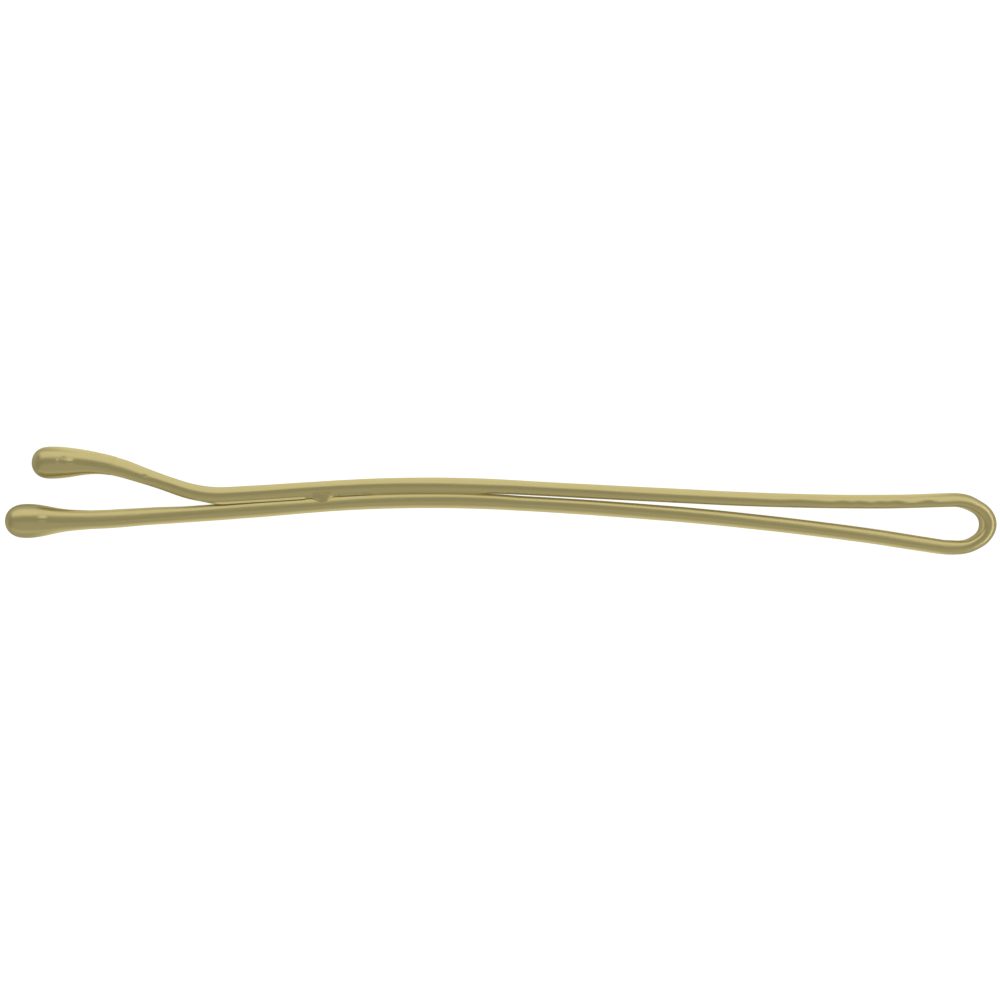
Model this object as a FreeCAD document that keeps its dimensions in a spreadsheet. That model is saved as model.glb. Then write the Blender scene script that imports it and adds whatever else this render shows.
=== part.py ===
import FreeCAD, Part
import math
import os
import Sketcher
from FreeCAD import Placement, Rotation, Vector

# Bobby pin: one flat spring wire folded into two legs, a film of lacquer over it, and a resin bead
# on each tip. The pin lies on its side: the bend points to +X, the flared upper leg is towards +Y,
# and the flats of the wire face each other across the grip. Every shape is drawn about the middle
# of the bend's open side, and the finished pin is set down with its base centred on the origin.

SIZES = [
    # The wire and what covers it
    ("wire_thickness", 0.78, "rolled wire, measured from one flat to the other"),
    ("wire_width", 1.17, "rolled wire, measured from one round edge to the other"),
    ("lacquer_film", 0.05, "coat of lacquer on every side of the wire"),
    # The bend, on the middle of the wire
    ("bend_half_height", 1.425, "middle of the bend to either leg"),
    ("bend_depth", 2.36, "start of the legs to the apex"),
    ("apex_radius", 1.15, "tightest radius, at the apex"),
    # The grip, where the legs press on each other
    ("crest_distance", 31.5, "start of the legs to the crest of the grip"),
    ("crest_rise", 0.91, "start of the upper leg up to its crest"),
    ("crest_radius", 96.0, "bow of the lower leg at its crest"),
    ("grip_gap", 0.04, "daylight left between the lacquered legs at the crest"),
    ("approach_slope", 2.95, "climb of both legs where their crest starts, in degrees"),
    ("grip_slope", 4.2, "fall of the lower leg beyond the crest, in degrees"),
    ("grip_opening", 0.8, "angle at which the upper leg leaves the lower one, in degrees"),
    # The lower leg, from the bend to its tip
    ("lower_turn_radius", 4.2, "turn out of the bend"),
    ("lower_grip_run", 8.88, "straight run beyond the crest"),
    ("lower_tip_radius", 120.0, "easing into the tip"),
    ("lower_tip_slope", 0.8, "fall of the tip, in degrees"),
    # The upper leg, from the bend to its tip
    ("upper_turn_radius", 14.0, "turn out of the bend"),
    ("upper_bow_radius", 172.0, "hollow bow that clears the lower leg"),
    ("upper_grip_run", 6.53, "straight run beyond the crest"),
    ("kink_radius", 7.5, "kink where the flare starts"),
    ("flare_slope", 19.2, "rise of the flare, in degrees"),
    ("flare_run", 3.17, "straight run of the flare"),
    ("upper_tip_radius", 9.3, "easing into the tip"),
    ("upper_tip_slope", 1.0, "fall of the tip, in degrees"),
    # The tips and their beads
    ("tip_run", 1.9, "straight end of either leg, inside its bead"),
    ("bead_nose", 0.8, "resin between the nose and the wire's end"),
    ("bead_shoulder_wall", 0.195, "resin over the wire's edge where the tip run starts"),
    ("bead_swell", 0.2, "how far the ball stands proud of that shoulder"),
    ("bead_tail", 2.3, "resin drawn back along the leg behind the shoulder"),
    ("bead_tail_wall", 0.09, "resin over the wire at the end of the tail"),
]

LEG_PITCH = "Sizes.wire_thickness + 2 * Sizes.lacquer_film + Sizes.grip_gap"
CREST_CENTRE = f"Sizes.bend_half_height + Sizes.crest_rise - ({LEG_PITCH}) - Sizes.crest_radius"
HALF_THICK = "Sizes.wire_thickness / 2 + Sizes.lacquer_film"
HALF_WIDE = "Sizes.wire_width / 2 + Sizes.lacquer_film"
DROP_LENGTH = "Sizes.bead_nose + Sizes.tip_run"
TAIL_TURN = "Sizes.bead_tail / Sizes.{} * 180 / pi"

# A curve's own points as a sketch counts them, and the axes and origin that every sketch has
START, END, CENTRE = range(1, 4)
X_AXIS, Y_AXIS = range(-1, -3, -1)
ORIGIN = (X_AXIS, START)
NORMAL = Vector(0, 0, 1)

doc = FreeCAD.newDocument("bobby_pin")
sheet = doc.addObject("Spreadsheet::Sheet", "Sizes")
for row, (alias, value, meaning) in enumerate(SIZES, start=1):
    sheet.set(f"A{row}", meaning)
    sheet.set(f"B{row}", str(value))
    sheet.setAlias(f"B{row}", alias)
doc.recompute()

leg_pitch = sheet.wire_thickness + 2 * sheet.lacquer_film + sheet.grip_gap
half_thick = sheet.wire_thickness / 2 + sheet.lacquer_film
half_wide = sheet.wire_width / 2 + sheet.lacquer_film
drop_length = sheet.bead_nose + sheet.tip_run


def new_body(name):
    body = doc.addObject("PartDesign::Body", name)
    body.Label = name
    return body


def new_sketch(body, role, name):
    """An empty sketch on one of the body's own origin planes."""
    sketch = body.newObject("Sketcher::SketchObject", f"{body.Name}_{name}")
    plane = next(item for item in body.Origin.OriginFeatures if item.Role == role)
    sketch.AttachmentSupport = (plane, [""])
    sketch.MapMode = "FlatFace"
    return sketch


def hold(sketch, *constraint):
    return sketch.addConstraint(Sketcher.Constraint(*constraint))


def bind(sketch, expression, *constraint):
    """Add a dimension and tie it to the sheet."""
    index = hold(sketch, *constraint)
    sketch.setExpression(f"Constraints[{index}]", expression)


class TangentPath:
    """Arcs and straight runs drawn end to end in one sketch, each tangent to the one before."""

    def __init__(self, sketch, start, heading):
        self.sketch = sketch
        self.point = start
        self.heading = heading
        self.first = None
        self.last = None

    def arc(self, radius, turn, expression=None):
        """Turn left through a positive angle, or right through a negative one."""
        side = math.copysign(1.0, turn)
        centre = self.point + Vector(-math.sin(self.heading), math.cos(self.heading), 0) * side * radius
        first = self.heading - side * math.pi / 2
        circle = Part.Circle(centre, NORMAL, radius)
        index = self.sketch.addGeometry(Part.ArcOfCircle(circle, *sorted((first, first + turn))))
        self.heading += turn
        self.point = centre + Vector(math.sin(self.heading), -math.cos(self.heading), 0) * side * radius
        near, far = (START, END) if turn > 0 else (END, START)
        self.join(index, near, far)
        if expression:
            bind(self.sketch, expression, "Radius", index, radius)
        return index

    def run(self, length, expression=None, slope=None):
        """A straight run, drawn from its far end, so that a leg's slope is measured from +X."""
        far_point = self.point + Vector(math.cos(self.heading), math.sin(self.heading), 0) * length
        index = self.sketch.addGeometry(Part.LineSegment(far_point, self.point))
        self.point = far_point
        self.join(index, END, START)
        if expression:
            bind(self.sketch, expression, "Distance", index, length)
        if slope:
            bind(self.sketch, slope, "Angle", index, self.heading - math.pi)
        return index

    def join(self, index, near, far):
        if self.last:
            hold(self.sketch, "Tangent", *self.last, index, near)
        else:
            self.first = (index, near)
        self.last = (index, far)


def start_leg(body, side):
    """A path that leaves the bend towards -X, below or above its middle."""
    sketch = new_sketch(body, "XY_Plane", "path")
    return TangentPath(sketch, Vector(0, side * sheet.bend_half_height, 0), math.pi)


def fix_leg(path, side, crest):
    """Hold a leg where it leaves the bend, and its crest about the centre that both legs share."""
    sketch = path.sketch
    height = side * sheet.bend_half_height
    drop = sheet.bend_half_height + sheet.crest_rise - leg_pitch - sheet.crest_radius
    hold(sketch, "PointOnObject", *path.first, Y_AXIS)
    hold(sketch, "PointOnObject", path.first[0], CENTRE, Y_AXIS)
    bind(sketch, f"{side} * Sizes.bend_half_height", "DistanceY", *ORIGIN, *path.first, height)
    bind(sketch, "-Sizes.crest_distance", "DistanceX", *ORIGIN, crest, CENTRE, -sheet.crest_distance)
    bind(sketch, CREST_CENTRE, "DistanceY", *ORIGIN, crest, CENTRE, drop)


def lower_leg_path(body):
    """The lower leg: out of the bend, up to the crest, down the grip and level at the tip."""
    path = start_leg(body, -1)
    turn = sheet.lower_turn_radius
    crest_radius = sheet.crest_radius
    reach = sheet.crest_distance
    rise = 2 * sheet.bend_half_height + sheet.crest_rise - leg_pitch
    slope = math.radians(sheet.approach_slope)
    grip = math.radians(sheet.grip_slope)
    tip = math.radians(sheet.lower_tip_slope)
    # The climb out of the bend and the long bow that goes with it, near enough for a first drawing
    climb = (2 * rise - reach * slope) / (reach - (turn + crest_radius) * slope)
    bow = (reach - turn * climb - crest_radius * slope) / (climb - slope)
    path.arc(turn, -climb, "Sizes.lower_turn_radius")
    path.arc(bow, climb - slope)
    crest = path.arc(crest_radius, slope + grip, "Sizes.crest_radius")
    path.run(sheet.lower_grip_run, "Sizes.lower_grip_run", "Sizes.grip_slope")
    path.arc(sheet.lower_tip_radius, tip - grip, "Sizes.lower_tip_radius")
    path.run(sheet.tip_run, "Sizes.tip_run", "Sizes.lower_tip_slope")
    bind(path.sketch, "Sizes.approach_slope + Sizes.grip_slope", "Angle", crest, slope + grip)
    fix_leg(path, -1, crest)
    return path.sketch


def upper_leg_path(body):
    """The upper leg: a hollow bow up to the crest, down the grip, then the flare and the tip."""
    path = start_leg(body, 1)
    crest_radius = sheet.crest_radius + leg_pitch
    reach = sheet.crest_distance
    outer = sheet.upper_turn_radius + sheet.upper_bow_radius
    inner = sheet.upper_bow_radius + crest_radius
    slope = math.radians(sheet.approach_slope)
    grip = math.radians(sheet.grip_slope - sheet.grip_opening)
    flare = math.radians(sheet.flare_slope)
    tip = math.radians(sheet.upper_tip_slope)
    # The dip out of the bend and the straight approach that goes with it, for a first drawing
    short_of_crest = inner * slope ** 2 / 2 - reach * slope + sheet.crest_rise
    dip = math.sqrt(slope ** 2 - 2 * short_of_crest / outer) - slope
    approach = reach - inner * slope - outer * dip
    path.arc(sheet.upper_turn_radius, dip, "Sizes.upper_turn_radius")
    path.arc(sheet.upper_bow_radius, -dip - slope, "Sizes.upper_bow_radius")
    path.run(approach, slope="-Sizes.approach_slope")
    crest = path.arc(crest_radius, slope + grip, f"Sizes.crest_radius + {LEG_PITCH}")
    path.run(sheet.upper_grip_run, "Sizes.upper_grip_run", "Sizes.grip_slope - Sizes.grip_opening")
    path.arc(sheet.kink_radius, -grip - flare, "Sizes.kink_radius")
    path.run(sheet.flare_run, "Sizes.flare_run", "-Sizes.flare_slope")
    path.arc(sheet.upper_tip_radius, flare + tip, "Sizes.upper_tip_radius")
    path.run(sheet.tip_run, "Sizes.tip_run", "Sizes.upper_tip_slope")
    fix_leg(path, 1, crest)
    return path.sketch


def bend_path(body):
    """The bend: half an oval, with a tight apex between two wider flanks."""
    height = sheet.bend_half_height
    apex = sheet.apex_radius
    offset = sheet.bend_depth - apex
    flank = (offset ** 2 + height ** 2 - apex ** 2) / (2 * (height - apex))
    turn = math.atan2(offset, flank - height)
    sketch = new_sketch(body, "XY_Plane", "path")
    path = TangentPath(sketch, Vector(0, -height, 0), 0.0)
    lower = path.arc(flank, turn)
    middle = path.arc(apex, math.pi - 2 * turn, "Sizes.apex_radius")
    upper = path.arc(flank, turn)
    hold(sketch, "PointOnObject", lower, START, Y_AXIS)
    hold(sketch, "PointOnObject", lower, CENTRE, Y_AXIS)
    hold(sketch, "PointOnObject", middle, CENTRE, X_AXIS)
    hold(sketch, "PointOnObject", upper, CENTRE, Y_AXIS)
    hold(sketch, "PointOnObject", upper, END, Y_AXIS)
    hold(sketch, "Equal", lower, upper)
    bind(sketch, "-Sizes.bend_half_height", "DistanceY", *ORIGIN, lower, START, -height)
    bind(sketch, "Sizes.bend_depth - Sizes.apex_radius", "DistanceX", *ORIGIN, middle, CENTRE, offset)
    return sketch


def draw_flat_wire(sketch, side, film):
    """The section of flat wire with round edges, bare or under its film, on one side of the middle."""
    radius = sheet.wire_thickness / 2 + (sheet.lacquer_film if film else 0.0)
    straight = (sheet.wire_width - sheet.wire_thickness) / 2
    place = side * sheet.bend_half_height
    far_edge = Part.Circle(Vector(place, straight, 0), NORMAL, radius)
    near_edge = Part.Circle(Vector(place, -straight, 0), NORMAL, radius)
    right, far, left, near = sketch.addGeometry([
        Part.LineSegment(Vector(place + radius, -straight, 0), Vector(place + radius, straight, 0)),
        Part.ArcOfCircle(far_edge, 0.0, math.pi),
        Part.LineSegment(Vector(place - radius, straight, 0), Vector(place - radius, -straight, 0)),
        Part.ArcOfCircle(near_edge, math.pi, 2 * math.pi),
    ])
    for before, after in ((right, far), (far, left), (left, near), (near, right)):
        hold(sketch, "Tangent", before, END, after, START)
    hold(sketch, "Symmetric", far, CENTRE, near, CENTRE, X_AXIS)
    hold(sketch, "Equal", far, near)
    bind(sketch, HALF_THICK if film else "Sizes.wire_thickness / 2", "Radius", far, radius)
    ends = (near, CENTRE, far, CENTRE)
    bind(sketch, "Sizes.wire_width - Sizes.wire_thickness", "DistanceY", *ends, 2 * straight)
    if side:
        bind(sketch, f"{side} * Sizes.bend_half_height", "DistanceX", *ORIGIN, far, CENTRE, place)
    else:
        hold(sketch, "PointOnObject", far, CENTRE, Y_AXIS)


def all_edges(sketch):
    return (sketch, [f"Edge{number}" for number in range(1, sketch.GeometryCount + 1)])


def sweep_wire(name, path_maker, side, films):
    """A body swept along its own path: bare wire from one outline, a coat from a ring of two."""
    body = new_body(name)
    path = path_maker(body)
    section = new_sketch(body, "YZ_Plane", "section")
    for film in films:
        draw_flat_wire(section, side, film)
    doc.recompute()
    sweep = body.newObject("PartDesign::AdditivePipe", f"{name}_sweep")
    sweep.Profile = section
    sweep.Spine = all_edges(path)
    doc.recompute()
    return body, path


def revolve_drop(body):
    """The ball of a bead, from its nose to the shoulder where the leg's straight end starts."""
    outline = new_sketch(body, "XY_Plane", "outline")
    shoulder = half_wide + sheet.bead_shoulder_wall
    ball = shoulder + sheet.bead_swell
    belly = ((drop_length - ball) ** 2 + sheet.bead_swell ** 2) / (2 * sheet.bead_swell)
    shoulder_angle = math.atan2(shoulder - ball + belly, drop_length - ball)
    belly_circle = Part.Circle(Vector(ball, ball - belly, 0), NORMAL, belly)
    nose_circle = Part.Circle(Vector(ball, 0, 0), NORMAL, ball)
    axis, end, side, nose = outline.addGeometry([
        Part.LineSegment(Vector(0, 0, 0), Vector(drop_length, 0, 0)),
        Part.LineSegment(Vector(drop_length, 0, 0), Vector(drop_length, shoulder, 0)),
        Part.ArcOfCircle(belly_circle, shoulder_angle, math.pi / 2),
        Part.ArcOfCircle(nose_circle, math.pi / 2, math.pi),
    ])
    hold(outline, "Coincident", axis, START, *ORIGIN)
    hold(outline, "Horizontal", axis)
    hold(outline, "Coincident", axis, END, end, START)
    hold(outline, "Vertical", end)
    hold(outline, "Coincident", end, END, side, START)
    hold(outline, "Tangent", side, END, nose, START)
    hold(outline, "Coincident", nose, END, axis, START)
    hold(outline, "PointOnObject", nose, CENTRE, X_AXIS)
    hold(outline, "Vertical", nose, CENTRE, nose, START)
    bind(outline, DROP_LENGTH, "Distance", axis, drop_length)
    bind(outline, f"{HALF_WIDE} + Sizes.bead_shoulder_wall", "Distance", end, shoulder)
    bind(outline, f"{HALF_WIDE} + Sizes.bead_shoulder_wall + Sizes.bead_swell", "Radius", nose, ball)
    doc.recompute()
    drop = body.newObject("PartDesign::Revolution", f"{body.Name}_drop")
    drop.Profile = outline
    drop.ReferenceAxis = (outline, ["H_Axis"])
    drop.Angle = 360.0
    doc.recompute()


def sweep_tail(body, radius, side):
    """Resin drawn back along the leg, from the round shoulder to a thin oval over the wire."""
    turn = side * sheet.bead_tail / getattr(sheet, radius)
    path = TangentPath(new_sketch(body, "XY_Plane", "tail_path"), Vector(drop_length, 0, 0), 0.0)
    arc = path.arc(getattr(sheet, radius), turn, f"Sizes.{radius}")
    hold(path.sketch, "PointOnObject", *path.first, X_AXIS)
    hold(path.sketch, "Vertical", *path.first, arc, CENTRE)
    bind(path.sketch, DROP_LENGTH, "DistanceX", *ORIGIN, *path.first, drop_length)
    bind(path.sketch, TAIL_TURN.format(radius), "Angle", arc, abs(turn))

    shoulder = new_sketch(body, "YZ_Plane", "shoulder")
    shoulder.setExpression("AttachmentOffset.Base.z", DROP_LENGTH)
    shoulder_radius = half_wide + sheet.bead_shoulder_wall
    ring = shoulder.addGeometry(Part.Circle(Vector(0, 0, 0), NORMAL, shoulder_radius))
    hold(shoulder, "Coincident", ring, CENTRE, *ORIGIN)
    bind(shoulder, f"{HALF_WIDE} + Sizes.bead_shoulder_wall", "Radius", ring, shoulder_radius)

    end = new_sketch(body, "YZ_Plane", "tail_end")
    angle = f"{TAIL_TURN.format(radius)} * 1 deg"
    end.AttachmentOffset = Placement(Vector(0, 0, 0), Rotation(Vector(0, 1, 0), math.degrees(turn)))
    end.setExpression("AttachmentOffset.Base.x", f"{side} * Sizes.{radius} * (1 - cos({angle}))")
    end.setExpression("AttachmentOffset.Base.z", f"{DROP_LENGTH} + Sizes.{radius} * sin({angle})")
    end.setExpression("AttachmentOffset.Rotation.Angle", f"{side} * {angle}")
    tall = half_wide + sheet.bead_tail_wall
    thin = half_thick + sheet.bead_tail_wall
    oval = end.addGeometry(Part.Ellipse(Vector(0, tall, 0), Vector(thin, 0, 0), Vector(0, 0, 0)))
    end.exposeInternalGeometry(oval)
    long_axis = oval + 1
    short_axis = oval + 2
    hold(end, "Coincident", oval, CENTRE, *ORIGIN)
    hold(end, "Vertical", long_axis)
    bind(end, f"2 * ({HALF_WIDE} + Sizes.bead_tail_wall)", "Distance", long_axis, 2 * tall)
    bind(end, f"2 * ({HALF_THICK} + Sizes.bead_tail_wall)", "Distance", short_axis, 2 * thin)
    doc.recompute()

    tail = body.newObject("PartDesign::AdditivePipe", f"{body.Name}_tail")
    tail.Profile = shoulder
    tail.Spine = all_edges(path.sketch)
    tail.Transformation = "Multisection"
    tail.Sections = [end]
    doc.recompute()


def cut_socket(body, radius, side):
    """The blind socket that holds the lacquered end of the leg, along its straight end and its arc."""
    before = body.Shape.Volume
    turn = side * sheet.bead_tail / getattr(sheet, radius)
    sketch = new_sketch(body, "XY_Plane", "socket_path")
    path = TangentPath(sketch, Vector(sheet.bead_nose, 0, 0), 0.0)
    run = path.run(sheet.tip_run, "Sizes.tip_run")
    arc = path.arc(getattr(sheet, radius), turn, f"Sizes.{radius}")
    hold(sketch, "Horizontal", run)
    hold(sketch, "PointOnObject", *path.first, X_AXIS)
    bind(sketch, "Sizes.bead_nose", "DistanceX", *ORIGIN, *path.first, sheet.bead_nose)
    bind(sketch, TAIL_TURN.format(radius), "Angle", arc, abs(turn))
    mouth = new_sketch(body, "YZ_Plane", "socket_section")
    mouth.setExpression("AttachmentOffset.Base.z", "Sizes.bead_nose")
    draw_flat_wire(mouth, 0, True)
    doc.recompute()
    socket = body.newObject("PartDesign::SubtractivePipe", f"{body.Name}_socket")
    socket.Profile = mouth
    socket.Spine = all_edges(sketch)
    doc.recompute()
    if body.Shape.Volume >= before:
        raise RuntimeError(f"{body.Label}: the socket cuts nothing")


def make_bead(name, leg_path, radius, side):
    """A drop of resin set over the lacquered end of a leg."""
    body = new_body(name)
    revolve_drop(body)
    sweep_tail(body, radius, side)
    cut_socket(body, radius, side)
    tip_run = leg_path.Geometry[-1]
    along = (tip_run.EndPoint - tip_run.StartPoint).normalize()
    nose = tip_run.StartPoint - along * sheet.bead_nose
    body.Placement = Placement(nose, Rotation(Vector(1, 0, 0), along))
    return body


bare = [False]
coat = [True, False]
lower_wire, lower_path = sweep_wire("lower_leg_wire", lower_leg_path, -1, bare)
upper_wire, upper_path = sweep_wire("upper_leg_wire", upper_leg_path, 1, bare)
bend_wire, _ = sweep_wire("bend_wire", bend_path, -1, bare)
lower_coat, _ = sweep_wire("lower_leg_lacquer", lower_leg_path, -1, coat)
upper_coat, _ = sweep_wire("upper_leg_lacquer", upper_leg_path, 1, coat)
bend_coat, _ = sweep_wire("bend_lacquer", bend_path, -1, coat)
lower_bead = make_bead("lower_tip_bead", lower_path, "lower_tip_radius", 1)
upper_bead = make_bead("upper_tip_bead", upper_path, "upper_tip_radius", -1)
pieces = [lower_wire, bend_wire, upper_wire, lower_coat, bend_coat, upper_coat, lower_bead, upper_bead]

# Set the pin down, with the middle of its base at the origin
box = Part.makeCompound([piece.Shape for piece in pieces]).optimalBoundingBox()
base = Vector(box.Center.x, box.Center.y, box.ZMin)
for piece in pieces:
    piece.Placement = Placement(-base, Rotation()) * piece.Placement
doc.recompute()

for item in doc.Objects:
    if "Invalid" in item.State or "Error" in item.State:
        raise RuntimeError(f"{item.Name} failed: {item.State}")
for piece in pieces:
    if piece.Shape.isNull() or not piece.Shape.isValid() or len(piece.Shape.Solids) != 1:
        raise RuntimeError(f"{piece.Label} is not one sound solid")

os.makedirs("parts", exist_ok=True)
for piece in pieces:
    piece.Shape.exportStep(f"parts/{piece.Label}.step")
    print(f"{piece.Label}: {piece.Shape.Volume:.3f} cubic mm")
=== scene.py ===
import math

import bmesh
import bpy
from mathutils import Matrix, Vector, noise


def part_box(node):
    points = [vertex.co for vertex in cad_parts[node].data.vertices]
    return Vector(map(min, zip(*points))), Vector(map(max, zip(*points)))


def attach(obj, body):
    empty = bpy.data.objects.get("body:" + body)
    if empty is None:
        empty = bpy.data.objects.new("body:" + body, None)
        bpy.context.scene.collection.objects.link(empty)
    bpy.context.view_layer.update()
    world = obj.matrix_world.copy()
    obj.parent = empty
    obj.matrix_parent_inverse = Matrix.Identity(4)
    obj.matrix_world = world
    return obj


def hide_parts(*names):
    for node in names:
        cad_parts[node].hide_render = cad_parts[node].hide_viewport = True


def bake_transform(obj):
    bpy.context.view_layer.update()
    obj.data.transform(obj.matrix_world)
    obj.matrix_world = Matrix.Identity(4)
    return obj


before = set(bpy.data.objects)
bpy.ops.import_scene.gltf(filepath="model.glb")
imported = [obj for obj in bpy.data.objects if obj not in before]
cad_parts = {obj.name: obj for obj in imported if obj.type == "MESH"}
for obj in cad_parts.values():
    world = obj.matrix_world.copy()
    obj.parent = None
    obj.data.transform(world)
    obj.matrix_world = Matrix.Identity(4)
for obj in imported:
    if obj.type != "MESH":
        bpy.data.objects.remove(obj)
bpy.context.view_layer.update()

# A gold lacquered bobby pin, lying on its side. Shapes are worked out in millimetres about the
# middle of the bend's open side, and put in their place in the frame, in metres, when finished.

MILLIMETRE = 0.001
BEND_LOW, BEND_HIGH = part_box("bend_lacquer")
BEND_MIDDLE = Vector((BEND_LOW.x, (BEND_LOW.y + BEND_HIGH.y) / 2, (BEND_LOW.z + BEND_HIGH.z) / 2))
TO_FRAME = Matrix.Translation(BEND_MIDDLE) @ Matrix.Scale(MILLIMETRE, 4)

# The section of the wire: a flat on each side, a squarer edge towards the other leg and a rounder
# one outside
WIRE_HALF_THICK = 0.39
WIRE_HALF_WIDE = 0.585
COAT_HALF_WIDE = 0.69
FLAT_SHARE = 0.33
INNER_SQUARENESS = 2.7
CREST_SHARE = 0.2
CORNER_START = 0.8
CORNER_SLOPE = 0.6
LEG_SEGMENTS = 56
BEAD_SEGMENTS = 96
NEARLY_LEVEL = 1e-5
MERGE_DISTANCE = 1e-5

# Which edge of the wire is its inner one, seen along its path
LEFT = 1
RIGHT = -1

# The middle line of the bend
BEND_HALF_HEIGHT = 1.425
BEND_DEPTH = 2.36
APEX_RADIUS = 1.15

# The legs from the bend to their tips: arcs (radius, turn in degrees, left is positive) and runs
LOWER_LEG = [
    ("arc", 4.2, -8.785),
    ("arc", 255.946, 5.835),
    ("arc", 96.0, 7.15),
    ("run", 8.88),
    ("arc", 120.0, -3.4),
    ("run", 1.9),
]
UPPER_LEG = [
    ("arc", 14.0, 1.663),
    ("arc", 172.0, -4.613),
    ("run", 12.279),
    ("arc", 96.92, 6.35),
    ("run", 6.53),
    ("arc", 7.5, -22.6),
    ("run", 3.17),
    ("arc", 9.3, 20.2),
    ("run", 1.9),
]
PLAIN_STEP = 0.3
FINE_STEP = 0.1
BEND_STEP = 0.05

# The lacquer is not even: half its thickness at distances from the bend, how far it sits towards +Y
# on the wire, and how far its flats lean up towards the other leg
LOWER_COAT = [
    (0.0, 0.436, -0.001, -0.15), (2.2, 0.449, 0.003, -0.17), (4.5, 0.45, 0.034, -0.15),
    (8.0, 0.453, 0.036, -0.13), (12.0, 0.456, 0.03, -0.11), (16.0, 0.458, 0.024, -0.07),
    (18.5, 0.457, 0.004, -0.04), (22.0, 0.455, -0.004, -0.03), (25.0, 0.45, -0.009, -0.04),
    (26.2, 0.452, -0.01, -0.06), (27.4, 0.466, 0.01, -0.05), (30.0, 0.481, 0.027, -0.05),
    (36.0, 0.481, 0.028, -0.12), (38.5, 0.48, 0.014, -0.14), (42.0, 0.504, -0.002, -0.11),
    (45.0, 0.49, -0.018, -0.08), (46.5, 0.488, -0.012, -0.08), (47.4, 0.506, 0.009, -0.11),
    (48.4, 0.52, 0.031, -0.14), (49.3, 0.529, 0.027, -0.15), (50.3, 0.551, 0.012, -0.15),
    (51.3, 0.56, -0.004, -0.14), (57.0, 0.6, 0.0, -0.12),
]
# Next to the bend, where it ran together, the upper leg's lacquer is rippled
UPPER_COAT = [
    (0.0, 0.42, 0.028, 0.24), (0.8, 0.418, 0.021, 0.27), (1.4, 0.414, 0.014, 0.13),
    (2.5, 0.412, 0.002, 0.26), (3.4, 0.415, -0.004, 0.09), (3.9, 0.416, -0.005, 0.16),
    (4.4, 0.415, -0.005, 0.12), (4.9, 0.414, -0.003, 0.2), (5.6, 0.413, -0.001, 0.1),
    (6.05, 0.412, 0.0, 0.17), (6.55, 0.412, 0.002, 0.09), (7.25, 0.414, 0.005, 0.18),
    (8.5, 0.416, 0.01, 0.11), (9.4, 0.418, 0.014, 0.08), (10.4, 0.42, 0.014, 0.14),
    (12.5, 0.424, 0.013, 0.09), (16.0, 0.428, 0.011, 0.1), (20.0, 0.428, 0.004, 0.08),
    (22.0, 0.428, 0.005, 0.05), (24.0, 0.427, 0.008, 0.05), (26.0, 0.432, 0.013, 0.05),
    (28.0, 0.446, 0.017, 0.09), (31.0, 0.446, 0.022, 0.07), (34.5, 0.446, 0.022, 0.03),
    (37.5, 0.446, 0.016, 0.02), (39.5, 0.447, 0.004, 0.02), (42.5, 0.452, -0.006, 0.06),
    (45.6, 0.467, 0.0, 0.05), (46.6, 0.45, 0.0, 0.01), (47.8, 0.437, 0.0, 0.04),
    (49.1, 0.472, 0.0, 0.13), (50.7, 0.545, 0.0, 0.14), (56.0, 0.57, 0.0, 0.08),
]
# The same round the bend, by the share of its length, and how far it sits outwards on the wire
BEND_COAT = [
    (0.0, 0.436, 0.001, -0.15), (0.05, 0.428, 0.012, -0.14), (0.1, 0.411, 0.042, -0.12),
    (0.19, 0.385, 0.066, -0.06), (0.3, 0.394, 0.003, 0.0), (0.38, 0.405, -0.024, 0.02),
    (0.47, 0.438, -0.027, 0.04), (0.53, 0.438, -0.03, 0.06), (0.64, 0.407, -0.05, 0.1),
    (0.72, 0.39, -0.026, 0.14), (0.8, 0.41, 0.032, 0.18), (0.88, 0.413, 0.054, 0.21),
    (1.0, 0.42, 0.028, 0.24),
]


class WirePath:
    """The middle of the wire: arcs and straight runs end to end, each tangent to the one before."""

    def __init__(self, start, heading, parts):
        self.pieces = []
        self.length = 0.0
        point = Vector(start)
        for part in parts:
            radius = part[1] if part[0] == "arc" else None
            turn = math.radians(part[2]) if part[0] == "arc" else 0.0
            reach = radius * abs(turn) if radius else part[1]
            self.pieces.append((self.length, reach, point.copy(), heading, radius, turn))
            point, heading = self.along(self.pieces[-1], reach)
            self.length += reach

    def along(self, piece, distance):
        """Point and heading at a distance along one arc or run."""
        _, reach, start, heading, radius, turn = piece
        if radius is None:
            return start + Vector((math.cos(heading), math.sin(heading), 0)) * distance, heading
        side = math.copysign(1.0, turn)
        centre = start + Vector((-math.sin(heading), math.cos(heading), 0)) * side * radius
        heading += turn * distance / reach
        return centre + Vector((math.sin(heading), -math.cos(heading), 0)) * side * radius, heading

    def at(self, distance):
        """Point and heading at a distance from the start."""
        for piece in self.pieces:
            if distance <= piece[0] + piece[1]:
                break
        return self.along(piece, distance - piece[0])

    def ring(self, distance, thick, wide, shift=0.0):
        """Where a unit ring round the wire goes, beyond the path's end too. The shift is to the left."""
        beyond = max(0.0, distance - self.length)
        point, heading = self.at(distance - beyond)
        left = Vector((-math.sin(heading), math.cos(heading), 0))
        ahead = Vector((math.cos(heading), math.sin(heading), 0))
        turn = Matrix((left, Vector((0, 0, 1)), ahead)).transposed().to_4x4()
        place = Matrix.Translation(point + left * shift + ahead * beyond)
        return place @ turn @ Matrix.Diagonal((thick, wide, 1.0, 1.0))


def smooth_step(value):
    """From 0 to 1 without a corner at either end."""
    value = min(max(value, 0.0), 1.0)
    return value * value * (3 - 2 * value)


def slope_at(stops, index):
    """How fast the values change at a stop."""
    before = stops[max(index - 1, 0)]
    after = stops[min(index + 1, len(stops) - 1)]
    return (Vector(after[1:]) - Vector(before[1:])) / (after[0] - before[0])


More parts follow.
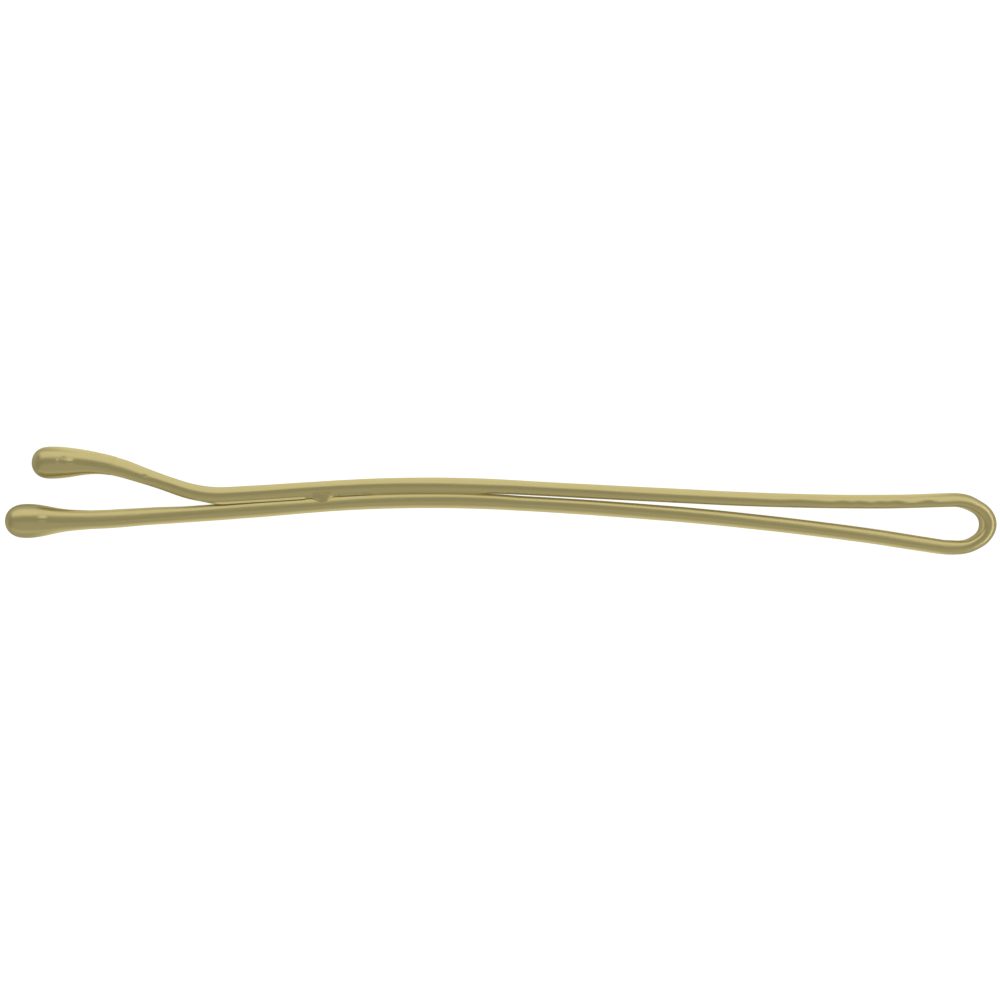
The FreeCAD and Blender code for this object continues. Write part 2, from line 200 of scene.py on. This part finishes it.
def read_stops(stops, distance):
    """The values at a distance, on a smooth curve through the stops."""
    index = 0
    while index < len(stops) - 2 and distance > stops[index + 1][0]:
        index += 1
    near, far = stops[index], stops[index + 1]
    length = far[0] - near[0]
    share = (distance - near[0]) / length
    rest = share - 1
    leaving = Vector(near[1:]) * (1 + 2 * share) + slope_at(stops, index) * length * share
    arriving = Vector(far[1:]) * (1 - 2 * rest) + slope_at(stops, index + 1) * length * rest
    return leaving * rest ** 2 + arriving * share ** 2


def evenly(start, end, step):
    """Places from a start to an end, no further apart than a step."""
    count = max(1, math.ceil((end - start) / step))
    return [start + (end - start) * i / count for i in range(count + 1)]


def round_ring(mesh, segments):
    """A unit ring of edges, where a sweep starts."""
    return bmesh.ops.create_circle(mesh, cap_ends=False, segments=segments, radius=1.0)["verts"]


def flat_height(inwards, round_up, lean):
    """How high the flat wire's section is at a place across it, where a round one has a given height."""
    leaning = lean * (inwards - inwards ** 3 / 3) + CREST_SHARE * abs(lean)
    return round_up * (1 - FLAT_SHARE) + FLAT_SHARE + leaning


def flat_section(across, up, inner_side, lean, corner=1.0):
    """A point of a unit circle moved to the flat wire's section, whose inner edge is left or right."""
    inwards = across * inner_side
    if inwards > 0:
        inwards **= 2 / INNER_SQUARENESS
        up = math.copysign(abs(up) ** (2 / INNER_SQUARENESS), up)
    if abs(up) < NEARLY_LEVEL:
        return inwards * inner_side, up
    height = flat_height(inwards, abs(up), lean)
    if inwards > CORNER_START:
        root = (1 - CORNER_START ** INNER_SQUARENESS) ** (1 / INNER_SQUARENESS)
        full = flat_height(CORNER_START, root, lean) - CORNER_SLOPE * (inwards - CORNER_START)
        height += max(0.0, full - height) * corner
    return inwards * inner_side, math.copysign(height, up)


def sweep(mesh, verts, rings):
    """Extrude a unit ring from place to place. Gives the first and the last ring's edges."""
    edges = mesh.edges[:]
    first = edges
    bmesh.ops.transform(mesh, matrix=rings[0], verts=verts)
    for before, after in zip(rings, rings[1:]):
        made = bmesh.ops.extrude_edge_only(mesh, edges=edges)["geom"]
        moved = [item for item in made if isinstance(item, bmesh.types.BMVert)]
        edges = [item for item in made if isinstance(item, bmesh.types.BMEdge)]
        bmesh.ops.transform(mesh, matrix=after @ before.inverted(), verts=moved)
    return first, edges


def reshape(mesh, rings, segments, change):
    """Change the section of each ring of a sweep, given as across and up on a unit ring."""
    mesh.verts.ensure_lookup_table()
    for index, ring in enumerate(rings):
        back = ring.inverted()
        for vert in mesh.verts[index * segments:(index + 1) * segments]:
            across, up, _ = back @ vert.co
            vert.co = ring @ Vector((*change(index, across, up), 0))


def close_end(mesh, edges):
    """Close a ring with a flat face and a crisp rim."""
    bmesh.ops.edgeloop_fill(mesh, edges=edges)
    for edge in edges:
        edge.smooth = False


def close_point(mesh, edges, point):
    """Draw a ring together into the nose of a bead."""
    made = bmesh.ops.extrude_edge_only(mesh, edges=edges)["geom"]
    verts = [item for item in made if isinstance(item, bmesh.types.BMVert)]
    bmesh.ops.pointmerge(mesh, verts=verts, merge_co=point)


def add_marks(mesh, marks):
    """Raise or press the top round points, each with its reach along X, Y and Z and its height."""
    for centre, reach, height in marks:
        for vert in mesh.verts:
            offset = vert.co - Vector(centre)
            away = Vector((offset.x / reach[0], offset.y / reach[1], offset.z / reach[2])).length
            vert.co.z += height * smooth_step(1 - away)


# The lacquer is thicker in places along the legs, where it faces clear of the other leg
LUMP_HEIGHT = 0.01
LUMP_SIZE = 1.8
LUMP_START = -60.0
LUMP_END = -2.0
LUMP_FADE = 1.5
CLEAR_LEVEL = 1.4
CLEAR_SLOPE = 2.0


def add_lumps(mesh, inner_side):
    """Thicken a leg's lacquer in places. The left of a leg is towards -Y."""
    mesh.normal_update()
    moves = []
    for vert in mesh.verts:
        inside = smooth_step((vert.co.x - LUMP_START) / LUMP_FADE)
        inside *= smooth_step((LUMP_END - vert.co.x) / LUMP_FADE)
        clear = smooth_step(CLEAR_LEVEL + CLEAR_SLOPE * inner_side * vert.normal.y)
        wave = 0.5 + 0.5 * noise.noise(vert.co / LUMP_SIZE)
        moves.append(vert.normal * LUMP_HEIGHT * wave * inside * clear)
    for vert, move in zip(mesh.verts, moves):
        vert.co += move


def make_piece(mesh, name, material):
    """Close the bmesh into an object at its place in the frame."""
    bmesh.ops.remove_doubles(mesh, verts=mesh.verts, dist=MERGE_DISTANCE)
    bmesh.ops.recalc_face_normals(mesh, faces=mesh.faces)
    for face in mesh.faces:
        face.smooth = True
    bmesh.ops.transform(mesh, matrix=TO_FRAME, verts=mesh.verts)
    data = bpy.data.meshes.new(name)
    mesh.to_mesh(data)
    mesh.free()
    data.materials.append(material)
    piece = bpy.data.objects.new(name, data)
    bpy.context.scene.collection.objects.link(piece)
    return piece


class Value:
    """A shader value. Python's operators on it add Math nodes."""

    def __init__(self, shader, socket):
        self.shader = shader
        self.socket = socket

    def maths(self, operation, *values):
        return self.shader.node("ShaderNodeMath", {"operation": operation}, dict(enumerate(values)))

    def __add__(self, other):
        return self.maths("ADD", self, other)

    def __sub__(self, other):
        return self.maths("SUBTRACT", self, other)

    def __rsub__(self, other):
        return self.maths("SUBTRACT", other, self)

    def __mul__(self, other):
        return self.maths("MULTIPLY", self, other)

    __radd__ = __add__
    __rmul__ = __mul__


CLOUD_ROUGHNESS = 0.55


class Shader:
    """A node tree, and the one method that adds a node to it."""

    def __init__(self, owner):
        owner.use_nodes = True
        self.tree = owner.node_tree
        self.tree.nodes.clear()

    def node(self, kind, settings=None, inputs=None, output=0):
        made = self.tree.nodes.new(kind)
        for name, value in (settings or {}).items():
            setattr(made, name, value)
        for name, value in (inputs or {}).items():
            if isinstance(value, Value):
                self.tree.links.new(value.socket, made.inputs[name])
            else:
                made.inputs[name].default_value = value
        return Value(self, made.outputs[output]) if made.outputs else made

    def place(self, stretch=(1.0, 1.0, 1.0)):
        """Object coordinates in millimetres, stretched."""
        coordinates = self.node("ShaderNodeTexCoord", output="Object")
        scale = tuple(share / MILLIMETRE for share in stretch)
        return self.node("ShaderNodeMapping", inputs={"Vector": coordinates, "Scale": scale})

    def cloud(self, place, size, detail=2.0):
        """Soft noise with features of a size in millimetres, between 0 and 1."""
        inputs = {"Vector": place, "Scale": 1.0 / size, "Detail": detail, "Roughness": CLOUD_ROUGHNESS}
        return self.node("ShaderNodeTexNoise", {"noise_dimensions": "3D"}, inputs, "Fac")

    def ramp(self, value, start, end):
        """From 0 at the start to 1 at the end."""
        inputs = {"Value": value, "From Min": start, "From Max": end}
        return self.node("ShaderNodeMapRange", inputs=inputs)

    def blend_colours(self, share, first, second):
        settings = {"data_type": "RGBA", "blend_type": "MIX"}
        return self.node("ShaderNodeMix", settings, {0: share, 6: first, 7: second}, 2)

    def finish(self, surface):
        self.node("ShaderNodeOutputMaterial", inputs={"Surface": surface})


GOLD = (0.60, 0.51, 0.225, 1.0)
OLIVE_GOLD = (0.555, 0.485, 0.215, 1.0)
STEEL = (0.42, 0.42, 0.43, 1.0)
WORN_STEEL = (0.5, 0.5, 0.5, 1.0)
EDGE_GOLD = (0.9, 0.87, 0.68, 1.0)
METAL_SHARE = 0.85
LACQUER_FLOW = (0.25, 1.0, 1.0)
RESIN_FLOW = (0.8, 1.0, 1.0)
POOL_SIZE = 1.6
POOL_DETAIL = 3.0
GOLD_ROUGHNESS = 0.24
GOLD_ROUGHNESS_CHANGE = 0.12
DULL_PATCH_SIZE = 0.7
PEEL_SIZE = 0.22
PEEL_DETAIL = 1.0
PEEL_HEIGHT = 0.006
PEEL_STRENGTH = 0.35
DRAWN_ALONG = (0.05, 1.0, 1.0)
DRAWN_LINE_SIZE = 0.05
DRAWN_LINE_DETAIL = 3.0
STEEL_ROUGHNESS = 0.25
STEEL_ROUGHNESS_CHANGE = 0.15


def gold_finish(name, flow):
    """Metallic gold lacquer: pooled a little darker in patches, with a fine orange peel."""
    material = bpy.data.materials.new(name)
    shader = Shader(material)
    place = shader.place()
    pooled = shader.cloud(shader.place(flow), POOL_SIZE, POOL_DETAIL)
    colour = shader.blend_colours(pooled, OLIVE_GOLD, GOLD)
    dull = shader.cloud(place, DULL_PATCH_SIZE) * GOLD_ROUGHNESS_CHANGE + GOLD_ROUGHNESS
    peel = shader.cloud(place, PEEL_SIZE, PEEL_DETAIL)
    bump = shader.node("ShaderNodeBump", inputs={
        "Strength": PEEL_STRENGTH, "Distance": PEEL_HEIGHT * MILLIMETRE, "Height": peel,
    }, output="Normal")
    shader.finish(shader.node("ShaderNodeBsdfPrincipled", inputs={
        "Base Color": colour, "Metallic": METAL_SHARE, "Roughness": dull, "Normal": bump,
        "Specular Tint": EDGE_GOLD,
    }))
    return material


def steel_finish():
    """Rolled spring steel with fine lines drawn along the wire."""
    material = bpy.data.materials.new("rolled_steel")
    shader = Shader(material)
    lines = shader.cloud(shader.place(DRAWN_ALONG), DRAWN_LINE_SIZE, DRAWN_LINE_DETAIL)
    colour = shader.blend_colours(lines, STEEL, WORN_STEEL)
    dull = lines * STEEL_ROUGHNESS_CHANGE + STEEL_ROUGHNESS
    shader.finish(shader.node("ShaderNodeBsdfPrincipled", inputs={
        "Base Color": colour, "Metallic": 1.0, "Roughness": dull,
    }))
    return material


lacquer = gold_finish("gold_lacquer", LACQUER_FLOW)
resin = gold_finish("gold_resin", RESIN_FLOW)
steel = steel_finish()

lower_path = WirePath((0, -BEND_HALF_HEIGHT, 0), math.pi, LOWER_LEG)
upper_path = WirePath((0, BEND_HALF_HEIGHT, 0), math.pi, UPPER_LEG)

flank_offset = BEND_DEPTH - APEX_RADIUS
flank_radius = (flank_offset ** 2 + BEND_HALF_HEIGHT ** 2 - APEX_RADIUS ** 2)
flank_radius /= 2 * (BEND_HALF_HEIGHT - APEX_RADIUS)
flank_turn = math.degrees(math.atan2(flank_offset, flank_radius - BEND_HALF_HEIGHT))
bend_path = WirePath((0, -BEND_HALF_HEIGHT, 0), 0.0, [
    ("arc", flank_radius, flank_turn),
    ("arc", APEX_RADIUS, 180 - 2 * flank_turn),
    ("arc", flank_radius, flank_turn),
])

# Where a leg's lacquer is thicker than this, it is wider too, by a share of the difference
PLAIN_HALF_THICK = 0.465
WIDER_SHARE = 0.5


def coat_size(stops, distance):
    """Half the thickness and width of a leg's lacquer, how far it sits towards +Y, and its lean."""
    thick, lift, lean = read_stops(stops, distance)
    wide = COAT_HALF_WIDE + WIDER_SHARE * max(0.0, thick - PLAIN_HALF_THICK)
    return thick, wide, lift, lean


# Lacquer dried in the groove between the touching legs: a lip on the upper leg that slopes down to
# the lower leg's shoulder. It turns up a little along one stretch, and more where the legs part. A
# drop of lacquer lies over it in one place.
GROOVE_START = 27.95
GROOVE_START_FADE = 0.5
GROOVE_END = 45.5
GROOVE_END_FADE = 1.4
LIP_ROOT = 0.55
LIP_REACH = 0.17
LIP_TOP = 0.98
LIP_DROP = 0.22
RIDGE_START = 34.7
RIDGE_START_FADE = 0.5
RIDGE_END = 37.3
RIDGE_END_FADE = 0.4
RIDGE_SHARE = 0.7
TURN_START = 38.6
TURN_FADE = 0.6
TURN_ROOT = 0.5
TURN_DROP = 0.17
TURN_RISE = 0.12
TURN_REACH = 0.27
DROP_PLACE = 38.0
DROP_HALF = 0.8
DROP_STEEPNESS = 1.2
DROP_TOP = 1.04
DROP_REACH = 0.72


def fill_groove(distance, across, up):
    """Fill the groove: a point of the upper leg's section beyond the root of the lip moves onto it."""
    filled = smooth_step((distance - GROOVE_START) / GROOVE_START_FADE)
    filled *= smooth_step((GROOVE_END - distance) / GROOVE_END_FADE)
    if filled == 0 or across < LIP_ROOT or abs(up) < NEARLY_LEVEL:
        return across, up
    out = (across - LIP_ROOT) / (1 - LIP_ROOT)
    ridge = smooth_step((distance - RIDGE_START) / RIDGE_START_FADE)
    ridge *= smooth_step((RIDGE_END - distance) / RIDGE_END_FADE)
    parted = smooth_step((distance - TURN_START) / TURN_FADE)
    turned = max(RIDGE_SHARE * ridge, parted)
    level = LIP_TOP - LIP_DROP * out
    edge = max(0.0, (out - TURN_ROOT) / (1 - TURN_ROOT))
    turned_level = LIP_TOP - TURN_DROP * smooth_step(out / TURN_ROOT) + TURN_RISE * edge
    level += (turned_level - level) * turned
    reach = LIP_REACH + (TURN_REACH - LIP_REACH) * parted
    drop = smooth_step(DROP_STEEPNESS * (1 - abs(distance - DROP_PLACE) / DROP_HALF))
    level += (DROP_TOP - level) * drop
    reach += (DROP_REACH - reach) * drop
    return across + reach * out * filled, up + (math.copysign(level, up) - up) * filled


def leg_coat(path, stops, inner_side, fine_stretches=()):
    """The lacquer along a leg, from the bend to a point inside its bead."""
    mesh = bmesh.new()
    distances = set(evenly(0.0, path.length, PLAIN_STEP))
    for start, end in fine_stretches:
        distances.update(evenly(start, end, FINE_STEP))
    distances = sorted(distances)
    rings = []
    leans = []
    for distance in distances:
        thick, wide, lift, lean = coat_size(stops, distance)
        rings.append(path.ring(distance, thick, wide, -lift))
        leans.append(lean)
    first, last = sweep(mesh, round_ring(mesh, LEG_SEGMENTS), rings)

    def section(index, across, up):
        across, up = flat_section(across, up, inner_side, leans[index])
        if path is upper_path:
            across, up = fill_groove(distances[index], across, up)
        return across, up

    reshape(mesh, rings, LEG_SEGMENTS, section)
    close_end(mesh, first)
    close_end(mesh, last)
    return mesh


lower_mesh = leg_coat(lower_path, LOWER_COAT, RIGHT)
add_lumps(lower_mesh, RIGHT)
lower_coat = make_piece(lower_mesh, "lower_leg_coat", lacquer)

# Closer rings for the ripples, the nick, the drop and the notch on the upper leg
UPPER_FINE_STRETCHES = [(0.6, 10.6), (16.4, 17.2), (36.6, 39.2), (48.2, 49.6)]
# A run of lacquer on the drop, the notch on the flare and the nick
UPPER_LEG_MARKS = [
    ((-38.45, 1.57, 0.68), (0.42, 0.2, 0.5), 0.05),
    ((-48.6, 2.89, 0.6), (0.22, 0.16, 0.5), -0.03),
    ((-16.7, 1.27, 0.5), (0.2, 0.14, 0.5), -0.04),
]
upper_mesh = leg_coat(upper_path, UPPER_COAT, LEFT, UPPER_FINE_STRETCHES)
add_lumps(upper_mesh, LEFT)
add_marks(upper_mesh, UPPER_LEG_MARKS)
upper_coat = make_piece(upper_mesh, "upper_leg_coat", lacquer)

# The thinnest lacquer over the wire in the bend, and how soon the squarer inner edge ends there
LEAST_FILM = 0.012
CORNER_POWER = 3


def bend_sweep(wide, is_core):
    """A sweep round the bend, from the lower leg to the upper one: the lacquer or the wire in it."""
    mesh = bmesh.new()
    rings = []
    leans = []
    for distance in evenly(0.0, bend_path.length, BEND_STEP):
        thick, outwards, lean = read_stops(BEND_COAT, distance / bend_path.length)
        if is_core:
            thick = min(WIRE_HALF_THICK, thick - LEAST_FILM)
        rings.append(bend_path.ring(distance, thick, wide, -outwards))
        leans.append(lean)
    first, last = sweep(mesh, round_ring(mesh, LEG_SEGMENTS), rings)

    def section(index, across, up):
        corner = abs(2 * index / (len(rings) - 1) - 1) ** CORNER_POWER
        return flat_section(across, up, LEFT, leans[index], corner)

    reshape(mesh, rings, LEG_SEGMENTS, section)
    close_end(mesh, first)
    close_end(mesh, last)
    return mesh


bend_coat = make_piece(bend_sweep(COAT_HALF_WIDE, False), "bend_coat", lacquer)
bend_core = make_piece(bend_sweep(WIRE_HALF_WIDE, True), "bend_core", steel)

# The beads: a round nose, and a tail that thins out on the leg behind it
BEAD_NOSE = 0.8
BEAD_LENGTH = 5.0
BEAD_STEP = 0.06
NOSE_ANGLE_STEP = 0.045
NOSE_POWER = 2.7
TAIL_FILM = 0.014
TAIL_LIP = 0.6
TAIL_LIP_DEPTH = 0.011


def bead_mesh(path, stops, inner_side, ball, belly, spread):
    """A drop of resin over the end of a leg, from its tail to its nose."""
    mesh = bmesh.new()
    nose = path.length + BEAD_NOSE
    back = evenly(belly, BEAD_LENGTH, BEAD_STEP)
    angles = evenly(0.0, math.pi / 2, NOSE_ANGLE_STEP)[1:-1]
    front = [belly * (1 - math.cos(angle)) for angle in angles]
    rings = []
    swells = []
    leans = []
    for distance in reversed(front + back):
        swell = math.exp(-((max(0.0, distance - belly) / spread) ** 2))
        close = math.sqrt(1 - max(0.0, 1 - distance / belly) ** NOSE_POWER)
        film = TAIL_FILM - TAIL_LIP_DEPTH * smooth_step((distance - BEAD_LENGTH) / TAIL_LIP + 1)
        thick, wide, lift, lean = coat_size(stops, nose - distance)
        thick = (thick + film) * (1 - swell) + ball * swell
        wide = (wide + film) * (1 - swell) + ball * swell
        rings.append(path.ring(nose - distance, thick * close, wide * close, -lift * (1 - swell)))
        swells.append(swell)
        leans.append(lean)
    first, last = sweep(mesh, round_ring(mesh, BEAD_SEGMENTS), rings)

    def section(index, across, up):
        flat_across, flat_up = flat_section(across, up, inner_side, leans[index])
        swell = swells[index]
        return flat_across + (across - flat_across) * swell, flat_up + (up - flat_up) * swell

    reshape(mesh, rings, BEAD_SEGMENTS, section)
    close_end(mesh, first)
    close_point(mesh, last, path.ring(nose, 1.0, 1.0).to_translation())
    return mesh


# Small runs on the beads, and a dent by the upper bead's nose
LOWER_BEAD_MARKS = [
    ((-54.71, 0.31, 0.95), (0.4, 0.2, 0.6), 0.045),
]
UPPER_BEAD_MARKS = [
    ((-53.81, 3.77, 0.95), (0.16, 0.16, 0.6), 0.04),
    ((-53.09, 3.72, 0.95), (0.36, 0.26, 0.6), 0.05),
    ((-53.45, 3.98, 0.95), (0.3, 0.22, 0.6), -0.02),
    ((-55.15, 3.85, 0.6), (0.85, 0.75, 0.9), -0.1),
]
lower_bead_mesh = bead_mesh(lower_path, LOWER_COAT, RIGHT, ball=1.03, belly=1.37, spread=1.76)
add_marks(lower_bead_mesh, LOWER_BEAD_MARKS)
lower_bead = make_piece(lower_bead_mesh, "lower_bead", resin)

upper_bead_mesh = bead_mesh(upper_path, UPPER_COAT, LEFT, ball=0.975, belly=1.24, spread=2.15)
add_marks(upper_bead_mesh, UPPER_BEAD_MARKS)
upper_bead = make_piece(upper_bead_mesh, "upper_bead", resin)

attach(lower_coat, "lower_leg")
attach(upper_coat, "upper_leg")
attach(lower_bead, "lower_leg")
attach(upper_bead, "upper_leg")
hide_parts("lower_leg_lacquer")
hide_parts("upper_leg_lacquer")
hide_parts("lower_tip_bead")
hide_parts("upper_tip_bead")
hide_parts("bend_lacquer")
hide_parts("bend_wire")

# The bend's lacquer and the wire in it are baked in place in the frame
for piece in (bend_coat, bend_core):
    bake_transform(piece)

for node in ("lower_leg_wire", "upper_leg_wire"):
    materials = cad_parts[node].data.materials
    materials.clear()
    materials.append(steel)

# The table under the pin: white, with the pin's soft shadow. The metal shows it less bright towards
# the tips and between the legs, least past both ends of the pin, and brighter away from it on either
# side: painted shade and light in the table's glow, for the pin's shade on a lit table. Places are in
# metres.
TABLE_SIZE = 4.0
TABLE_DROP = 0.00002
TABLE_GLOW = 0.93
TABLE_TIPS = 0.6
TABLE_TIPS_END = (-0.02, -0.005)
TABLE_NEAR = 0.9
TABLE_FAR = 1.0
TABLE_RISE = (0.0005, 0.004)
TABLE_SIDE = 0.9
TABLE_SIDE_RISE = (-0.0004, -0.0008)
TABLE_SIDE_SLANT = 0.083
TABLE_FADE = (0.027, 0.029)
TABLE_FADED = 0.45
TABLE_PAINT = (0.28, 0.28, 0.28, 1.0)
WHITE = (1.0, 1.0, 1.0, 1.0)


def white_table():
    """White paint that also glows, to the camera and in the metal, where its glow carries painted shade
    and light graded by place.
    """
    material = bpy.data.materials.new("white_table")
    shader = Shader(material)
    camera = shader.node("ShaderNodeLightPath", output="Is Camera Ray")
    glossy = shader.node("ShaderNodeLightPath", output="Is Glossy Ray")
    transmission = shader.node("ShaderNodeLightPath", output="Is Transmission Ray")
    coordinates = shader.node("ShaderNodeTexCoord", output="Object")
    along = shader.node("ShaderNodeSeparateXYZ", inputs={0: coordinates}, output="X")
    away = shader.node("ShaderNodeSeparateXYZ", inputs={0: coordinates}, output="Y")
    # Painted shade and light: the glow the metal sees is dimmed by the tips, between the legs and past
    # both ends, and raised away from the pin
    near = TABLE_TIPS + shader.ramp(along, *TABLE_TIPS_END) * (TABLE_NEAR - TABLE_TIPS)
    lit = near + shader.ramp(away, *TABLE_RISE) * (TABLE_FAR - near)
    below = away + along.maths("MAXIMUM", along, 0.0) * TABLE_SIDE_SLANT
    lit = lit + shader.ramp(below, *TABLE_SIDE_RISE) * (TABLE_SIDE - near)
    faded = shader.ramp(along.maths("ABSOLUTE", along), *TABLE_FADE) * (1 - TABLE_FADED)
    seen = (camera + (glossy + transmission) * lit * (1 - faded)) * TABLE_GLOW
    paint = shader.node("ShaderNodeBsdfDiffuse", inputs={"Color": TABLE_PAINT})
    glow = shader.node("ShaderNodeEmission", inputs={"Color": WHITE, "Strength": seen})
    shader.finish(shader.node("ShaderNodeAddShader", inputs={0: paint, 1: glow}))
    return material


table_mesh = bmesh.new()
bmesh.ops.create_grid(table_mesh, x_segments=1, y_segments=1, size=TABLE_SIZE / 2)
table_data = bpy.data.meshes.new("table")
table_mesh.to_mesh(table_data)
table_mesh.free()
table_data.materials.append(white_table())
table = bpy.data.objects.new("table", table_data)
bpy.context.scene.collection.objects.link(table)
table.location.z = -TABLE_DROP

ROOM_LIGHT = 0.38
world = bpy.data.worlds.new("studio")
bpy.context.scene.world = world
room = Shader(world)
room_camera = room.node("ShaderNodeLightPath", output="Is Camera Ray")
room_strength = room_camera * (1.0 - ROOM_LIGHT) + ROOM_LIGHT
room_glow = room.node("ShaderNodeBackground", inputs={"Color": WHITE, "Strength": room_strength})
room.node("ShaderNodeOutputWorld", inputs={"Surface": room_glow})

PANEL_DISTANCE = 0.3


def soft_box(name, direction, width, height, brightness):
    """A soft light panel that faces the pin, as bright as a white of that strength."""
    data = bpy.data.lights.new(name, "AREA")
    data.shape = "RECTANGLE"
    data.size = width
    data.size_y = height
    data.energy = brightness * math.pi * width * height
    lamp = bpy.data.objects.new(name, data)
    lamp.location = Vector(direction).normalized() * PANEL_DISTANCE
    lamp.rotation_mode = "QUATERNION"
    lamp.rotation_quaternion = (-lamp.location).to_track_quat("-Z", "Y")
    bpy.context.scene.collection.objects.link(lamp)


soft_box("far_panel", (0.0, 0.883, 0.469), width=0.9, height=0.306, brightness=0.68)
soft_box("near_panel", (0.0, -0.707, 0.707), width=0.9, height=0.486, brightness=0.15)
soft_box("low_panel", (0.0, -0.985, 0.17), width=0.9, height=0.09, brightness=0.3)
soft_box("bend_panel", (0.857, -0.03, 0.515), width=0.4, height=0.128, brightness=1.1)

# The camera looks straight down on the pin
CAMERA_DISTANCE = 0.101
CAMERA_ALONG = -0.00004
CAMERA_AWAY = 0.000009
CAMERA_LENS = 60.0
CAMERA_SENSOR = 36.0
CAMERA_NEAREST = 0.001
camera_data = bpy.data.cameras.new("camera")
camera_data.sensor_width = CAMERA_SENSOR
camera_data.lens = CAMERA_LENS
camera_data.clip_start = CAMERA_NEAREST
camera = bpy.data.objects.new("camera", camera_data)
camera.location = (CAMERA_ALONG, CAMERA_AWAY, BEND_MIDDLE.z + CAMERA_DISTANCE)
bpy.context.scene.collection.objects.link(camera)
bpy.context.scene.camera = camera
bpy.context.scene.view_settings.view_transform = "Standard"
